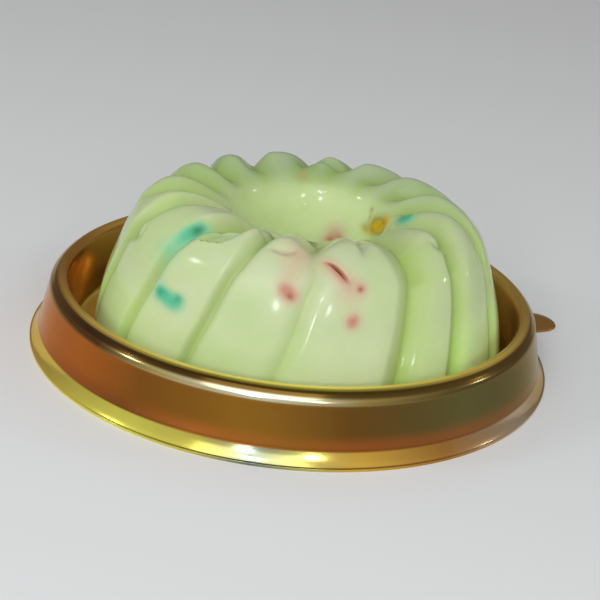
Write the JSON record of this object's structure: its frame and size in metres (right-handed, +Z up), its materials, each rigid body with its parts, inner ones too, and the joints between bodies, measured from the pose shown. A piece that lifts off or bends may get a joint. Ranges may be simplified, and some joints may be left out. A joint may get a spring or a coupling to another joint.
{
  "type": "broken glass jelly cake in a tray",
  "caption": "Fluted ring cake of milky green jelly with coloured jelly pieces showing, standing in a round gold plastic cake tray with a pull tab.",
  "frame": {"origin": "centre of the tray's flat underside, on the table", "axes": "+Z up out of the cake; front of the picture towards -Y; the pull tab points to +X and a little +Y"},
  "size_m": [0.263, 0.2499, 0.0767],
  "materials": {
    "jelly": "wet, smooth, milky translucent jelly",
    "gold": "metallised gold film on thin formed plastic sheet",
    "teal": "clear wet blue-green jelly",
    "amber": "clear wet amber jelly",
    "red": "clear wet red jelly"
  },
  "bodies": {
    "root": {"jelly_ring": "jelly", "cake_tray": "gold", "teal_piece_streak": "teal", "teal_piece_bone": "teal", "teal_piece_crown": "teal", "amber_piece_lip": "amber", "red_piece_oval": "red", "red_piece_slit": "red", "red_piece_dot": "red", "red_piece_small": "red", "red_piece_lip": "red", "amber_piece_side": "amber", "red_piece_back_high": "red", "teal_piece_back": "teal", "amber_piece_back": "amber", "red_piece_back_low": "red", "teal_piece_left": "teal", "amber_piece_left": "amber"}
  },
  "joints": []
}
